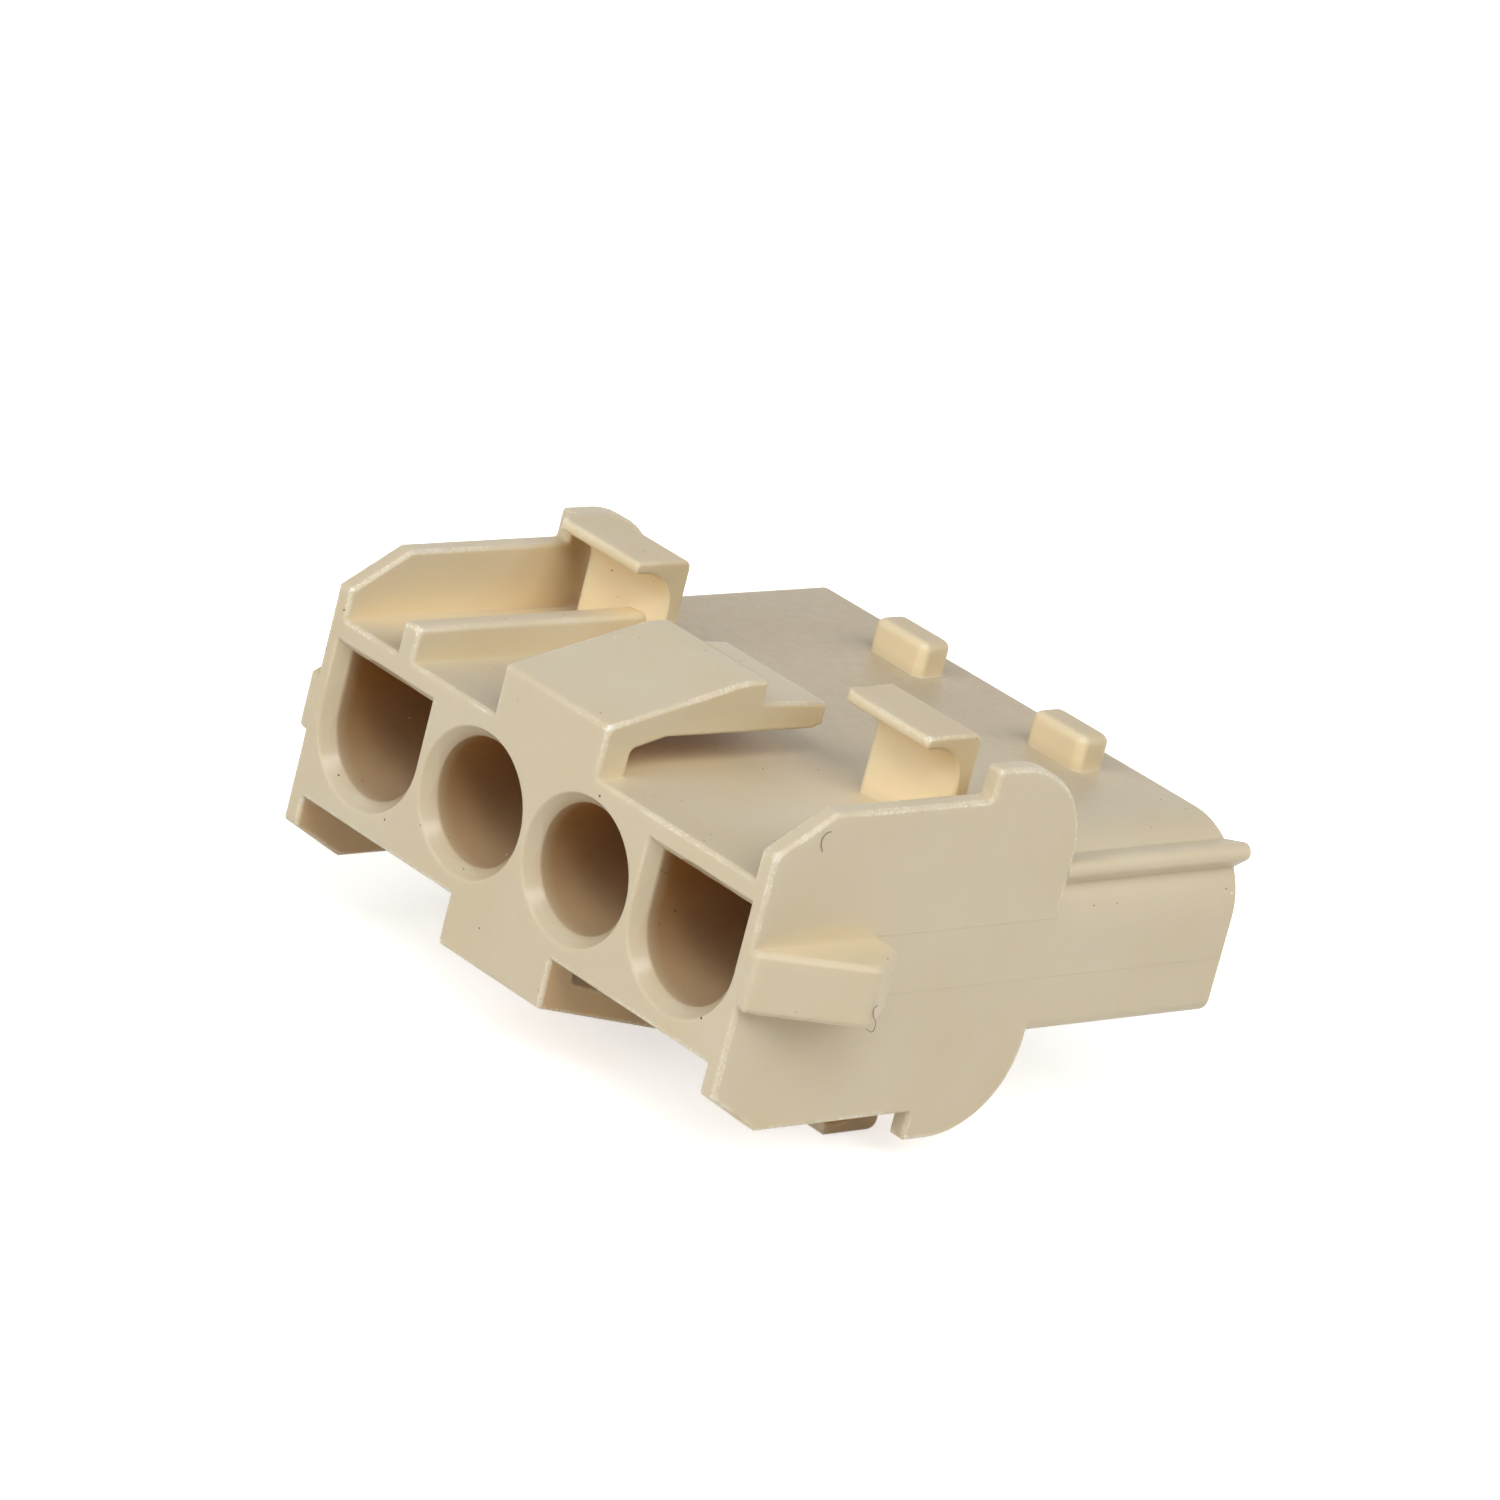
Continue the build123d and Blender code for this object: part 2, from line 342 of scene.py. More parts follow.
@dataclass(frozen=True)
class MouldedNylon:
    """Natural unfilled nylon from a polished mould.

    It gives the eye a cream satin skin with a soft, broad sheen, and light sinks in a little. Its
    colour holds painted light and shade: honey-coloured light on the thin upstands, warm light in
    corners, pale highlights on edges, and brown shade in slots, cavities and on what hangs below.
    """

    name: str = "Natural_nylon_moulded"

    # Gloss, and how far each colour of light sinks in.
    roughness: float = 0.40
    polish: float = 0.2
    ior: float = 1.53
    gloss: float = 0.32
    scatter_share: float = 0.4
    scatter_mm: Point = (0.9, 0.65, 0.4)
    scatter_forward: float = 0.3

    # The open skin, in clouds.
    cream: str = "#D2C6AD"
    honey: str = "#CDBC99"
    cloud_mm: float = 5.0
    cloud_span: Span = (0.3, 0.75)
    honey_share: float = 0.6

    # Painted warm light in the corners and painted brown shade in the slots, by their openness.
    painted_bounce_light: str = "#EAD7AE"
    painted_bounce_span: Span = (0.77, 0.28)
    painted_shade: str = "#AE7C44"
    painted_shade_span: Span = (0.22, 0.0)
    recess_mm: float = 5.0
    openness_rays: int = 12

    # Painted light and painted shade on thin forms that light comes through, by how they face.
    painted_front_light: str = "#FFEBC2"
    painted_front_light_share: float = 0.45
    painted_front_light_facing: Span = (0.0, -0.6)
    painted_side_shade: str = "#C8B287"
    painted_side_shade_share: float = 0.4
    painted_side_shade_facing: Span = (-0.6, 0.0)
    # Painted shade on the sides of what hangs below, by how they face.
    painted_underside_shade: str = "#D4B68D"
    painted_underside_share: float = 0.9
    painted_underside_facing: Span = (-0.7, -0.2)

    # Painted brown shade in the cavities, deeper with depth and towards their roofs.
    shade_mm: Span = (0.1, 1.4)
    cavity_floor_shade: float = 0.45
    cavity_roof_shade: float = 0.95
    bore_slack: float = 1.02

    # Darker mottles on the nose's top, strongest towards minus X, and specks all over.
    top_mottle_tone: str = "#A8967C"
    top_mottle_shares: Span = (0.3, 0.62)
    mottle_mm: float = 0.4
    mottle_span: Span = (0.25, 0.8)
    level_up: Span = (0.9, 0.995)
    speck: str = "#54442F"
    speck_cell_mm: float = 0.5
    speck_radius_mm: float = 0.058
    bare_cells: float = 0.55
    dark_specks: float = 0.86

    # Painted edge highlights, glossier there too. The lead-ins and a rim of some of their widths
    # get none.
    painted_highlight_and_pale_speck: str = "#FAF4E6"
    painted_sheen: PaintedHighlight = PaintedHighlight(patch_mm=0.35, patches=(0.38, 0.62), turn=(0.92, 0.66), share=0.42)
    painted_glint: PaintedHighlight = PaintedHighlight(patch_mm=0.13, patches=(0.48, 0.56), turn=(0.83, 0.7), share=1.0)
    breakup_mm: float = 2.2
    breakup_span: Span = (0.36, 0.54)
    highlight_open: Span = (0.66, 0.86)
    rim_widths: float = 1.8
    edge_reach_mm: float = 0.32
    edge_rays: int = 12

    # Relief. Real mould grain and turned grooves are some 0.03 mm wide, and mould lines are thinner
    # still. All three are drawn coarser than that, so that they show in the render.
    edge_round_mm: float = 0.2
    edge_round_rays: int = 8
    ripple_mm: float = 2.4
    ripple: Relief = Relief(depth_mm=0.05, strength=0.35)
    grain_mm: float = 0.16
    grain: Relief = Relief(depth_mm=0.01, strength=0.12)
    groove_mm: float = 0.1
    groove: Relief = Relief(depth_mm=0.02, strength=0.35)
    line_mm: float = 0.05
    line: Relief = Relief(depth_mm=0.03, strength=0.6)

    def make(self, row: CavityRow, layout: Layout) -> bpy.types.Material:
        """Builds the material.

        Args:
            row: The cavities, whose lead-ins show the core pin's fine grooves.
            layout: The other forms that the tints follow.

        Returns:
            The finished material, all of it on Object coordinates.
        """
        material = bpy.data.materials.new(self.name)
        material.use_nodes = True
        tree = material.node_tree
        tree.nodes.clear()
        point = SkinPoint.read(tree, row, self.recess_mm * MM, self.openness_rays)

        # Painted highlights on the edges: pale in the colour, and lower in roughness.
        highlight_share = self.painted_edge_highlights(point, row)
        # Painted warm light in corners and painted brown shade in slots, by openness.
        colour = self.painted_corner_light_and_shade(point, self.clouded(point))
        # Painted light on the fronts of the thin upstands, painted shade on their other faces.
        colour = self.painted_upstand_light(point, layout, colour)
        # Painted brownish shade on the sides of what hangs below.
        colour = self.shaded_underside(point, layout, colour)
        # Painted brown shade in the cavities.
        colour = self.painted_cavity_shade(point, row, layout, colour)
        colour = self.mottled_top(point, layout, colour)
        colour = self.speckled(point, colour)
        colour = add_node(
            tree, "ShaderNodeMix",
            {MIX_SHARE: highlight_share, MIX_UNDER: colour, MIX_OVER: linear(self.painted_highlight_and_pale_speck)},
            data_type="RGBA",
        ).outputs[MIX_COLOUR]
        polished = add_node(
            tree, "ShaderNodeMath", {0: point.on_lead_in, 1: highlight_share}, operation="MAXIMUM"
        )
        rough = add_node(
            tree, "ShaderNodeMapRange",
            {"Value": polished.outputs["Value"], "To Min": self.roughness, "To Max": self.polish},
        )
        skin = add_node(
            tree, "ShaderNodeBsdfPrincipled",
            {
                "Base Color": colour,
                "Roughness": rough.outputs["Result"],
                "IOR": self.ior,
                "Specular IOR Level": self.gloss,
                "Subsurface Weight": self.scatter_share,
                "Subsurface Radius": self.scatter_mm,
                "Subsurface Scale": MM,
                "Subsurface Anisotropy": self.scatter_forward,
                "Normal": self.surface(point, layout),
            },
        )
        add_node(tree, "ShaderNodeOutputMaterial", {"Surface": skin.outputs["BSDF"]})
        return material

    def painted_edge_highlights(self, point: SkinPoint, row: CavityRow) -> Socket:
        """Finds the outer edges and paints a pale highlight on them in broken patches, shiny too.

        Args:
            point: The point's measures.
            row: The cavities, whose mouths get no painted highlight.

        Returns:
            The share of painted highlight.
        """
        body = add_node(
            point.tree, "ShaderNodeAmbientOcclusion",
            {"Distance": self.edge_reach_mm * MM},
            samples=self.edge_rays, inside=True, only_local=True,
        ).outputs["AO"]
        breakup = add_node(
            point.tree, "ShaderNodeTexNoise",
            {"Vector": point.place, "Scale": per_metre(self.breakup_mm)},
        ).outputs["Fac"]
        rim = (
            row.mouth_radius + row.lead_in,
            row.mouth_radius + self.rim_widths * row.lead_in,
        )
        share = 0.0
        for painted_kind in (self.painted_sheen, self.painted_glint):
            patches = add_node(
                point.tree, "ShaderNodeTexNoise",
                {"Vector": point.place, "Scale": per_metre(painted_kind.patch_mm), "Detail": 2.0},
            ).outputs["Fac"]
            highlight_share = point.faded(
                painted_kind.share,
                (body, painted_kind.turn),
                (patches, painted_kind.patches),
                (breakup, self.breakup_span),
                (point.openness, self.highlight_open),
                (point.radius, rim),
            )
            share = add_node(
                point.tree, "ShaderNodeMath", {0: highlight_share, 1: share}, operation="MAXIMUM"
            ).outputs["Value"]
        return share

    def clouded(self, point: SkinPoint) -> Socket:
        """Mixes cream and honey in soft clouds, as flow in the mould leaves them.

        Args:
            point: The point's measures.

        Returns:
            The clouded colour.
        """
        cloud = add_node(
            point.tree, "ShaderNodeTexNoise",
            {
                "Vector": point.place,
                "Scale": per_metre(self.cloud_mm),
                "Detail": 3.0,
                "Roughness": 0.55,
            },
        ).outputs["Fac"]
        mix = add_node(
            point.tree, "ShaderNodeMix",
            {
                MIX_SHARE: point.faded(self.honey_share, (cloud, self.cloud_span)),
                MIX_UNDER: linear(self.cream),
                MIX_OVER: linear(self.honey),
            },
            data_type="RGBA",
        )
        return mix.outputs[MIX_COLOUR]

    def painted_corner_light_and_shade(self, point: SkinPoint, colour: Socket) -> Socket:
        """Paints light bounced from nylon to nylon into corners, and brown shade into slots.

        Args:
            point: The point's measures.
            colour: The colour of the open faces.

        Returns:
            The colour with its painted light in corners and painted shade in slots.
        """
        for tone, span in ((self.painted_bounce_light, self.painted_bounce_span), (self.painted_shade, self.painted_shade_span)):
            share = point.faded(1.0, (point.openness, span))
            colour = add_node(
                point.tree, "ShaderNodeMix",
                {MIX_SHARE: share, MIX_UNDER: colour, MIX_OVER: linear(tone)},
                data_type="RGBA",
            ).outputs[MIX_COLOUR]
        return colour

    def painted_upstand_light(self, point: SkinPoint, layout: Layout, colour: Socket) -> Socket:
        """Paints light and shade on the hooks and nubs on the top, thin enough to let light
        through.

        Their fronts get a pale painted light and their other faces a yellowish painted shade.

        Args:
            point: The point's measures.
            layout: Where the hooks and nubs lie.
            colour: The colour of the thicker nylon.

        Returns:
            The colour with its painted light and shade on the upstands.
        """
        clear = add_node(
            point.tree, "ShaderNodeMath",
            {
                0: point.faded(1.0, (point.aside, layout.beside_latch)),
                1: point.faded(1.0, (point.y, layout.behind_latch)),
            },
            operation="MAXIMUM",
        ).outputs["Value"]
        upstands = point.faded(
            clear,
            (point.z, layout.above_top),
            (point.y, layout.upstands_from),
            (point.aside, layout.between_wings),
        )
        for tone, most, facing in (
            (self.painted_side_shade, self.painted_side_shade_share, self.painted_side_shade_facing),
            (self.painted_front_light, self.painted_front_light_share, self.painted_front_light_facing),
        ):
            share = add_node(
                point.tree, "ShaderNodeMath", {0: upstands, 1: most}, operation="MULTIPLY"
            ).outputs["Value"]
            colour = add_node(
                point.tree, "ShaderNodeMix",
                {
                    MIX_SHARE: point.faded(share, (point.facing, facing)),
                    MIX_UNDER: colour,
                    MIX_OVER: linear(tone),
                },
                data_type="RGBA",
            ).outputs[MIX_COLOUR]
        return colour

    def shaded_underside(self, point: SkinPoint, layout: Layout, colour: Socket) -> Socket:
        """Paints brownish shade on the sides of what hangs below, lit mostly through the nylon.

        Args:
            point: The point's measures.
            layout: Where the underside begins.
            colour: The colour of the upper faces.

        Returns:
            The colour with its painted shade below.
        """
        share = point.faded(
            self.painted_underside_share,
            (point.z, layout.below_floor),
            (point.aside, layout.between_feet),
            (point.facing, self.painted_underside_facing),
        )
        mix = add_node(
            point.tree, "ShaderNodeMix",
            {MIX_SHARE: share, MIX_UNDER: colour, MIX_OVER: linear(self.painted_underside_shade)},
            data_type="RGBA",
        )
        return mix.outputs[MIX_COLOUR]

    def painted_cavity_shade(
        self, point: SkinPoint, row: CavityRow, layout: Layout, colour: Socket
    ) -> Socket:
        """Paints brown shade into the cavities, deeper with depth and towards their roofs.

        Args:
            point: The point's measures.
            row: The cavities.
            layout: The housing's length, since the cavities are open at both ends.
            colour: The colour of the open faces.

        Returns:
            The colour with its painted shade in the cavities.
        """
        behind = add_node(
            point.tree, "ShaderNodeMath", {0: layout.length, 1: point.y}, operation="SUBTRACT"
        )
        depth = add_node(
            point.tree, "ShaderNodeMath",
            {0: point.y, 1: behind.outputs["Value"]},
            operation="MINIMUM",
        )
        start_mm, full_mm = self.shade_mm
        deep = add_node(
            point.tree, "ShaderNodeMapRange",
            {
                "Value": depth.outputs["Value"],
                "From Min": start_mm * MM,
                "From Max": full_mm * MM,
            },
            interpolation_type="SMOOTHSTEP",
        )
        shaded = add_node(
            point.tree, "ShaderNodeMapRange",
            {
                "Value": point.z,
                "From Min": -row.mouth_radius,
                "From Max": row.mouth_radius / 2,
                "To Min": self.cavity_floor_shade,
                "To Max": self.cavity_roof_shade,
            },
        )
        share = add_node(
            point.tree, "ShaderNodeMath",
            {0: deep.outputs["Result"], 1: shaded.outputs["Result"]},
            operation="MULTIPLY",
        ).outputs["Value"]
        bore = row.mouth_radius * self.bore_slack
        half_row = row.pitch * row.count / 2
        for side, reach in ((point.offset, bore), (point.z, bore), (point.x, half_row)):
            inside = add_node(
                point.tree, "ShaderNodeMath", {0: side, 1: 0.0, 2: reach}, operation="COMPARE"
            )
            share = add_node(
                point.tree, "ShaderNodeMath",
                {0: share, 1: inside.outputs["Value"]},
                operation="MULTIPLY",
            ).outputs["Value"]
        mix = add_node(
            point.tree, "ShaderNodeMix",
            {MIX_SHARE: share, MIX_UNDER: colour, MIX_OVER: linear(self.painted_shade)},
            data_type="RGBA",
        )
        return mix.outputs[MIX_COLOUR]

    def mottled_top(self, point: SkinPoint, layout: Layout, colour: Socket) -> Socket:
        """Greys the nose's top behind the latch in fine mottles, strongest towards minus X.

        Args:
            point: The point's measures.
            layout: Where the mottles lie.
            colour: The colour without the mottles.

        Returns:
            The mottled colour.
        """
        mottle = add_node(
            point.tree, "ShaderNodeTexNoise",
            {
                "Vector": point.place,
                "Scale": per_metre(self.mottle_mm),
                "Detail": 4.0,
                "Roughness": 0.65,
            },
        )
        few, many = self.mottle_span
        least, most = self.top_mottle_shares
        mottle_share = add_node(
            point.tree, "ShaderNodeMapRange",
            {
                "Value": mottle.outputs["Fac"],
                "From Min": few,
                "From Max": many,
                "To Min": least,
                "To Max": most,
            },
        )
        share = point.faded(
            mottle_share.outputs["Result"],
            (point.x, layout.mottle_across),
            (point.y, layout.mottle_along),
            (point.up, self.level_up),
            (point.z, layout.mottle_height),
        )
        mix = add_node(
            point.tree, "ShaderNodeMix",
            {MIX_SHARE: share, MIX_UNDER: colour, MIX_OVER: linear(self.top_mottle_tone)},
            data_type="RGBA",
        )
        return mix.outputs[MIX_COLOUR]

    def speckled(self, point: SkinPoint, colour: Socket) -> Socket:
        """Scatters the fine specks that handling leaves, most of them dark and a few pale.

        Args:
            point: The point's measures.
            colour: The colour that the specks lie on.

        Returns:
            The colour with its specks.
        """
        cells = add_node(
            point.tree, "ShaderNodeTexVoronoi",
            {"Vector": point.place, "Scale": per_metre(self.speck_cell_mm)},
        )
        chance = add_node(point.tree, "ShaderNodeSeparateColor", {"Color": cells.outputs["Color"]})
        radius = add_node(
            point.tree, "ShaderNodeMapRange",
            {
                "Value": chance.outputs["Red"],
                "From Min": self.bare_cells,
                "From Max": 1.0,
                "To Max": self.speck_radius_mm / self.speck_cell_mm,
            },
        )
        inside = add_node(
            point.tree, "ShaderNodeMath",
            {0: cells.outputs["Distance"], 1: radius.outputs["Result"]},
            operation="LESS_THAN",
        )
        depth = add_node(
            point.tree, "ShaderNodeMath",
            {0: inside.outputs["Value"], 1: chance.outputs["Green"]},
            operation="MULTIPLY",
        )
        pale = add_node(
            point.tree, "ShaderNodeMath",
            {0: chance.outputs["Blue"], 1: self.dark_specks},
            operation="GREATER_THAN",
        )
        dot = add_node(
            point.tree, "ShaderNodeMix",
            {
                MIX_SHARE: pale.outputs["Value"],
                MIX_UNDER: linear(self.speck),
                MIX_OVER: linear(self.painted_highlight_and_pale_speck),
            },
            data_type="RGBA",
        )
        mix = add_node(
            point.tree, "ShaderNodeMix",
            {
                MIX_SHARE: depth.outputs["Value"],
                MIX_UNDER: colour,
                MIX_OVER: dot.outputs[MIX_COLOUR],
            },
            data_type="RGBA",
        )
        return mix.outputs[MIX_COLOUR]

    def witness_lines(self, point: SkinPoint, layout: Layout) -> Socket:
        """Draws the two lines that the ramp's slide left behind it on each wing's outer face.

        Args:
            point: The point's measures.
            layout: Where the slide met the wing.

        Returns:
            The height of the lines.
        """
        height = add_node(point.tree, "ShaderNodeMath", {0: point.z}, operation="ABSOLUTE")
        past = add_node(
            point.tree, "ShaderNodeMath",
            {0: height.outputs["Value"], 1: layout.slide_half},
            operation="SUBTRACT",
        )
        gap = add_node(
            point.tree, "ShaderNodeMath", {0: past.outputs["Value"]}, operation="ABSOLUTE"
        )
        return point.faded(
            1.0,
            (gap.outputs["Value"], (self.line_mm * MM, 0.0)),
            (point.aside, layout.wing_face),
            (point.y, layout.behind_ramp),
        )

    def surface(self, point: SkinPoint, layout: Layout) -> Socket:
        """Gives the skin its edge rounds, slow ripple, fine grain, turned grooves and mould lines.

        Args:
            point: The point's measures.
            layout: Where the mould lines run.

        Returns:
            The shading normal.
        """
        normal = add_node(
            point.tree, "ShaderNodeBevel",
            {"Radius": self.edge_round_mm * MM},
            samples=self.edge_round_rays,
        ).outputs["Normal"]
        ripples = add_node(
            point.tree, "ShaderNodeTexNoise",
            {"Vector": point.place, "Scale": per_metre(self.ripple_mm), "Detail": 1.0},
        )
        grains = add_node(
            point.tree, "ShaderNodeTexNoise",
            {"Vector": point.place, "Scale": per_metre(self.grain_mm), "Detail": 2.0},
        )
        rings = add_node(
            point.tree, "ShaderNodeTexNoise",
            {"W": point.radius, "Scale": per_metre(self.groove_mm), "Detail": 1.0},
            noise_dimensions="1D",
        )
        grooves = add_node(
            point.tree, "ShaderNodeMath",
            {0: rings.outputs["Fac"], 1: point.on_lead_in},
            operation="MULTIPLY",
        )
        for height, relief in (
            (ripples.outputs["Fac"], self.ripple),
            (grains.outputs["Fac"], self.grain),
            (grooves.outputs["Value"], self.groove),
            (self.witness_lines(point, layout), self.line),
        ):
            normal = add_node(
                point.tree, "ShaderNodeBump",
                {
                    "Strength": relief.strength,
                    "Distance": relief.depth_mm * MM,
                    "Height": height,
                    "Normal": normal,
                },
            ).outputs["Normal"]
        return normal


@dataclass(frozen=True)
class DustFibre:
    """Textile lint: thin, matt and brown-grey, it shows as a fine dark line on the cream skin."""

    name: str = "Textile_lint"
    pale: str = "#A6967C"
    dark: str = "#665744"
    twist_mm: float = 0.25
    roughness: float = 0.8

    def make(self) -> bpy.types.Material:
        """Builds the material.

        Returns:
            The finished material, its two tones changing along the fibre.
        """
        material = bpy.data.materials.new(self.name)
        material.use_nodes = True
        tree = material.node_tree
        tree.nodes.clear()
        place = add_node(tree, "ShaderNodeTexCoord").outputs["Object"]
        tone = add_node(
            tree, "ShaderNodeTexNoise", {"Vector": place, "Scale": per_metre(self.twist_mm)}
        )
        mix = add_node(
            tree, "ShaderNodeMix",
            {
                MIX_SHARE: tone.outputs["Fac"],
                MIX_UNDER: linear(self.dark),
                MIX_OVER: linear(self.pale),
            },
            data_type="RGBA",
        )
        cloth = add_node(
            tree, "ShaderNodeBsdfPrincipled",
            {"Base Color": mix.outputs[MIX_COLOUR], "Roughness": self.roughness},
        )
        add_node(tree, "ShaderNodeOutputMaterial", {"Surface": cloth.outputs["BSDF"]})
        return material


@dataclass
class Housing:
    """The moulding itself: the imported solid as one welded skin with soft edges."""

    weld: float = 0.0005 * MM
    flat_within: float = math.radians(0.3)
    smooth_below: float = math.radians(26.0)
    crease_above: float = math.radians(9.0)
    crease_length: float = 5.5 * MM
    face_weight: int = 100
    row: CavityRow = field(default_factory=CavityRow)
    layout: Layout = field(default_factory=Layout)
    finish: MouldedNylon = field(default_factory=MouldedNylon)
    piece: bpy.types.Object | None = None

    def build(self) -> bpy.types.Object:
        """Copies the solid's skin, welds it and rounds its shading over the bevels.

        Returns:
            The new piece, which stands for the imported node.
        """
        pick(frame["nodes"][NODE])
        bpy.ops.object.duplicate()
        self.piece = bpy.context.active_object
        self.piece.name = self.piece.data.name = "Nylon_housing"
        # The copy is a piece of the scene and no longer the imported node.
        del self.piece["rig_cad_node"]

        bpy.ops.mesh.customdata_custom_splitnormals_clear()
        bpy.ops.object.mode_set(mode="EDIT")
        bpy.ops.mesh.select_all(action="SELECT")
        bpy.ops.mesh.remove_doubles(threshold=self.weld)
        bpy.ops.mesh.dissolve_limited(angle_limit=self.flat_within)
        bpy.ops.object.mode_set(mode="OBJECT")

        bpy.ops.object.shade_smooth_by_angle(angle=self.smooth_below)
        self.crease_latches()
        bpy.ops.object.modifier_add(type="WEIGHTED_NORMAL")
        weighting = self.piece.modifiers[-1]
        weighting.mode = "FACE_AREA"
        weighting.weight = self.face_weight
        weighting.keep_sharp = True
        bpy.ops.object.modifier_apply(modifier=weighting.name)

        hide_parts(NODE)
        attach(self.piece, BODY)
        return self.piece

    def crease_latches(self) -> None:
        """Keeps the low ridge lines across the latches crisp, where smoothing would lose them."""
        bpy.ops.object.mode_set(mode="EDIT")
        bpy.ops.mesh.select_all(action="DESELECT")
        bpy.ops.mesh.select_mode(type="EDGE")
        bpy.ops.mesh.edges_select_sharp(sharpness=self.crease_above)
        bpy.ops.object.mode_set(mode="OBJECT")
        mesh = self.piece.data
        for edge in mesh.edges:
            start, end = (mesh.vertices[i].co for i in edge.vertices)
            edge.select = edge.select and abs(end.x - start.x) > self.crease_length
        bpy.ops.object.mode_set(mode="EDIT")
        bpy.ops.mesh.mark_sharp()
        bpy.ops.object.mode_set(mode="OBJECT")

    def dress(self) -> None:
        """Puts the nylon finish on the skin."""
        self.piece.data.materials.clear()
        self.piece.data.materials.append(self.finish.make(self.row, self.layout))


@dataclass
class Fibre:
    """One strand of lint that clings to the moulding."""

    name: str
    route_mm: tuple[Point, ...]
    thickness_mm: float = 0.034
    steps: int = 5
    roundness: int = 1
    piece: bpy.types.Object | None = None

    def build(self) -> bpy.types.Object:
        """Draws the strand as a curve, gives it its thickness and makes it a mesh.

        Returns:
            The new piece.
        """
        deselect_all()
        bpy.ops.curve.primitive_bezier_curve_add()
        self.piece = bpy.context.active_object
        self.piece.name = self.name
        curve = self.piece.data
        curve.resolution_u = self.steps
        curve.bevel_depth = self.thickness_mm / 2 * MM
        curve.bevel_resolution = self.roundness
        curve.use_fill_caps = True
        knots = curve.splines[0].bezier_points
        knots.add(len(self.route_mm) - len(knots))
        for knot, spot in zip(knots, self.route_mm):
            knot.co = Vector(spot) * MM
            knot.handle_left_type = knot.handle_right_type = "AUTO"
        bpy.ops.object.convert(target="MESH")
        self.piece = bpy.context.active_object
        self.piece.data.name = self.name
        bpy.ops.object.shade_smooth()
        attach(self.piece, BODY)
        return self.piece

    def dress(self, lint: bpy.types.Material) -> None:
        """Puts the lint finish on the strand."""
        self.piece.data.materials.clear()
        self.piece.data.materials.append(lint)


@dataclass
class Lint:
    """The loose strands on the moulding, each lying on the face that holds it."""

    finish: DustFibre = field(default_factory=DustFibre)
    strands: tuple[Fibre, ...] = field(
        default_factory=lambda: (
            Fibre(
                "Lint_on_wing",
                (
                    (13.17, 2.52, 5.91),
                    (13.17, 2.25, 5.81),
                    (13.17, 2.14, 5.49),
                    (13.17, 2.33, 5.10),
                ),
            ),
            Fibre(
                "Lint_on_ramp",
                (
                    (15.62, 4.79, -0.31),
                    (15.68, 4.58, -0.44),
                    (15.66, 4.70, -0.75),
                    (15.58, 4.99, -1.10),
                    (15.58, 4.94, -1.43),
                    (15.58, 4.60, -1.31),
                ),
            ),
            Fibre(
                "Lint_in_cavity",
                (
                    (7.02, 0.55, 1.75),
                    (7.05, 0.72, 1.62),
                    (7.05, 0.88, 1.58),
                    (7.05, 1.02, 1.70),
                ),
            ),
        )
    )

    def build(self) -> None:
        """Builds every strand."""
        for strand in self.strands:
            strand.build()

    def dress(self) -> None:
        """Gives every strand the same lint."""
        lint = self.finish.make()
        for strand in self.strands:
            strand.dress(lint)


@dataclass(frozen=True)
class Lamp:
    """One soft lamp, given by the way it lies from the housing.

    A lamp that isn't mirrored lights the skin but leaves no sheen on it.
    """

    role: LampRole
    direction: Point
    width: float
    watts: float
    distance: float = 0.55
    mirrored: bool = True

    def build(self, target: Vector) -> None:
        """Hangs the lamp and turns it to the housing.

        Args:
            target: The point that it shines at.
        """
        deselect_all()
        away = Vector(self.direction).normalized()
        bpy.ops.object.light_add(type="AREA", location=target + away * self.distance)
        lamp = bpy.context.active_object
        lamp.name = lamp.data.name = self.role.value
        lamp.rotation_euler = away.to_track_quat("Z", "Y").to_euler()
        lamp.data.shape = "SQUARE"
        lamp.data.size = self.width
        lamp.data.energy = self.watts
        lamp.visible_glossy = self.mirrored


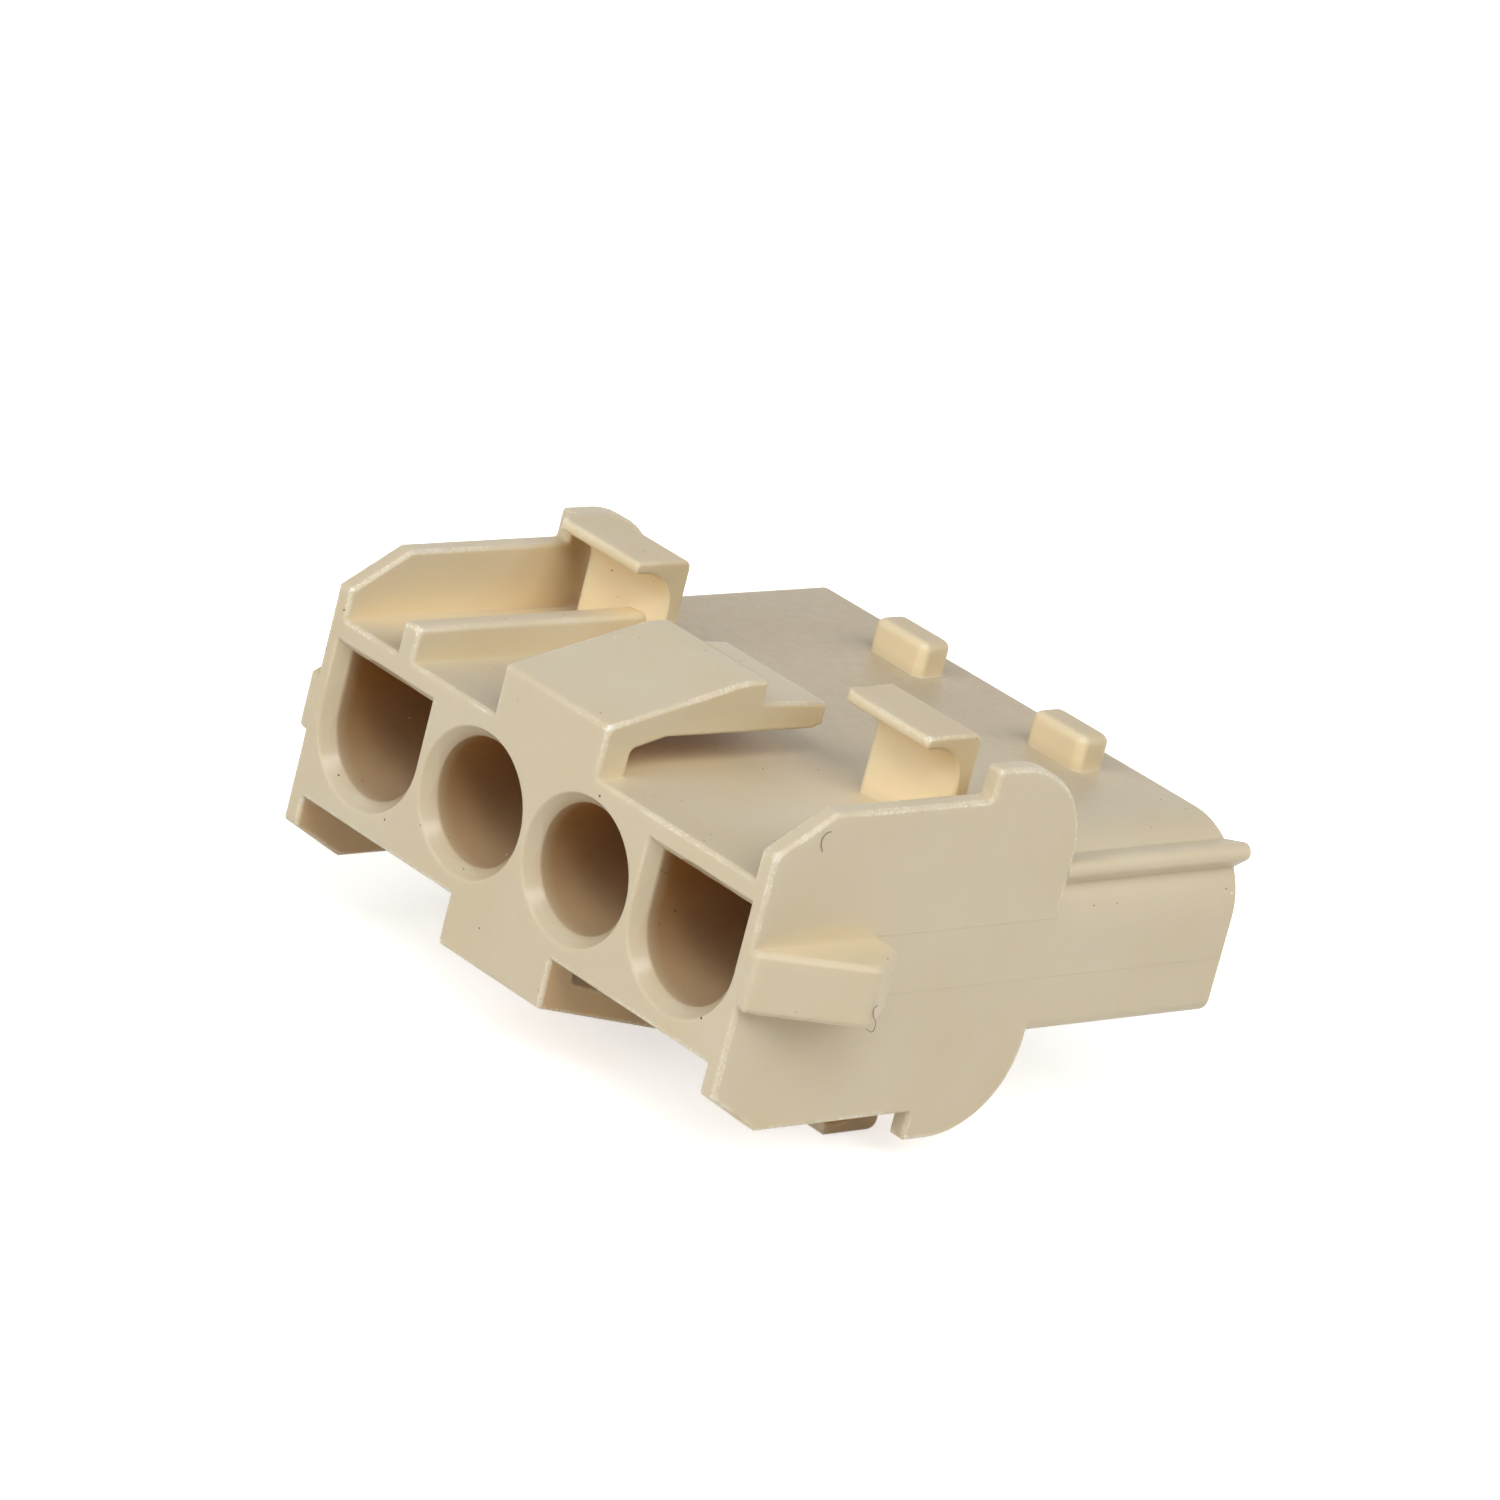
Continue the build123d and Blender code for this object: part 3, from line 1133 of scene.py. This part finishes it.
@dataclass
class Studio:
    """A light tent with a white floor, and the camera at the photograph's angle."""

    floor_half: float = 1.2
    floor_gap: float = 0.02 * MM
    floor_colour: str = "#F4F3F0"
    floor_roughness: float = 0.5
    floor_lift: float = 0.6
    tent_colour: str = "#FFFDF8"
    tent_strength: float = 0.03
    backdrop_colour: str = "#FFFFFF"
    camera_place: Vector = field(default_factory=lambda: Vector((206.79, -209.06, 107.63)) * MM)
    camera_turn_deg: Point = (70.292, -13.766, 48.074)
    camera_lens_mm: float = 196.0
    camera_sensor_mm: float = 36.0
    camera_near: float = 10 * MM
    lamps: tuple[Lamp, ...] = (
        Lamp(LampRole.SIDE, (0.69, 0.49, 0.53), width=0.30, watts=0.82),
        Lamp(LampRole.KEY, (0.69, -0.15, 0.71), width=0.36, watts=1.18),
        Lamp(LampRole.FRONT, (0.00, -0.99, 0.14), width=0.30, watts=0.92),
        Lamp(LampRole.HIGH, (-0.03, -0.77, 0.64), width=0.42, watts=1.22),
        Lamp(LampRole.GLINT, (0.45, -0.50, 0.74), width=0.15, watts=0.46),
        Lamp(LampRole.BACK, (-0.80, 0.59, 0.10), width=0.40, watts=0.90, mirrored=False),
    )

    def build(self) -> None:
        """Sets up the floor, the tent, the lamps and the camera."""
        lowest, highest = CAD_BOX
        middle = (lowest + highest) / 2
        self.lay_floor(lowest.z - self.floor_gap)
        self.hang_tent()
        for lamp in self.lamps:
            lamp.build(middle)
        self.place_camera()
        bpy.context.scene.view_settings.view_transform = "Standard"

    def lay_floor(self, level: float) -> None:
        """Lays the floor just under the housing.

        Args:
            level: The floor's height.
        """
        deselect_all()
        bpy.ops.mesh.primitive_plane_add(size=2 * self.floor_half, location=(0.0, 0.0, level))
        floor = bpy.context.active_object
        floor.name = floor.data.name = "Studio_floor"
        bpy.ops.object.transform_apply(location=True, rotation=True, scale=True)
        floor.data.materials.append(self.floor_paper())

    def floor_paper(self) -> bpy.types.Material:
        """Builds matt white paper.

        Returns:
            Paper that the camera sees lifted to white, with the shadow kept.
        """
        material = bpy.data.materials.new("White_paper")
        material.use_nodes = True
        tree = material.node_tree
        tree.nodes.clear()
        paper = add_node(
            tree, "ShaderNodeBsdfDiffuse",
            {"Color": linear(self.floor_colour), "Roughness": self.floor_roughness},
        )
        lift = add_node(tree, "ShaderNodeEmission", {"Strength": self.floor_lift})
        lifted = add_node(
            tree, "ShaderNodeAddShader", {0: paper.outputs["BSDF"], 1: lift.outputs["Emission"]}
        )
        seen = add_node(
            tree, "ShaderNodeMixShader",
            {0: self.seen_by_eye(tree), 1: paper.outputs["BSDF"], 2: lifted.outputs["Shader"]},
        )
        add_node(tree, "ShaderNodeOutputMaterial", {"Surface": seen.outputs["Shader"]})
        return material

    def hang_tent(self) -> None:
        """Makes the world an even white tent that the camera sees as plain white."""
        world = bpy.data.worlds.new("Light_tent")
        world.use_nodes = True
        tree = world.node_tree
        tree.nodes.clear()
        light = add_node(
            tree, "ShaderNodeBackground",
            {"Color": linear(self.tent_colour), "Strength": self.tent_strength},
        )
        white = add_node(
            tree, "ShaderNodeBackground", {"Color": linear(self.backdrop_colour), "Strength": 1.0}
        )
        tent = add_node(
            tree, "ShaderNodeMixShader",
            {
                0: self.seen_by_eye(tree),
                1: light.outputs["Background"],
                2: white.outputs["Background"],
            },
        )
        add_node(tree, "ShaderNodeOutputWorld", {"Surface": tent.outputs["Shader"]})
        bpy.context.scene.world = world

    @staticmethod
    def seen_by_eye(tree: bpy.types.NodeTree) -> Socket:
        """Tells the rays that the eye sees, straight or in a gloss or through glass.

        Args:
            tree: The nodes that ask.

        Returns:
            One for such rays and zero for the rest.
        """
        path = add_node(tree, "ShaderNodeLightPath")
        gloss = add_node(
            tree, "ShaderNodeMath",
            {0: path.outputs["Is Camera Ray"], 1: path.outputs["Is Glossy Ray"]},
            operation="MAXIMUM",
        )
        seen = add_node(
            tree, "ShaderNodeMath",
            {0: gloss.outputs["Value"], 1: path.outputs["Is Transmission Ray"]},
            operation="MAXIMUM",
        )
        return seen.outputs["Value"]

    def place_camera(self) -> None:
        """Stands the camera where the photograph was taken from."""
        deselect_all()
        turn = Euler([math.radians(angle) for angle in self.camera_turn_deg])
        bpy.ops.object.camera_add(location=self.camera_place, rotation=turn)
        camera = bpy.context.active_object
        camera.name = camera.data.name = "Photo_camera"
        camera.data.sensor_width = self.camera_sensor_mm
        camera.data.lens = self.camera_lens_mm
        camera.data.clip_start = self.camera_near
        bpy.context.scene.camera = camera


def main() -> None:
    """Builds and dresses the housing, then sets it in the studio."""
    logging.basicConfig(level=logging.INFO, format="%(name)s: %(message)s")

    housing = Housing()
    piece = housing.build()
    housing.dress()
    LOG.info("%s: %d faces, finish %s", piece.name, len(piece.data.polygons), housing.finish.name)

    lint = Lint()
    lint.build()
    lint.dress()
    for strand in lint.strands:
        LOG.info("%s: %d faces", strand.name, len(strand.piece.data.polygons))

    studio = Studio()
    studio.build()
    LOG.info("studio with %d lamps", len(studio.lamps))


if __name__ == "__main__":
    main()
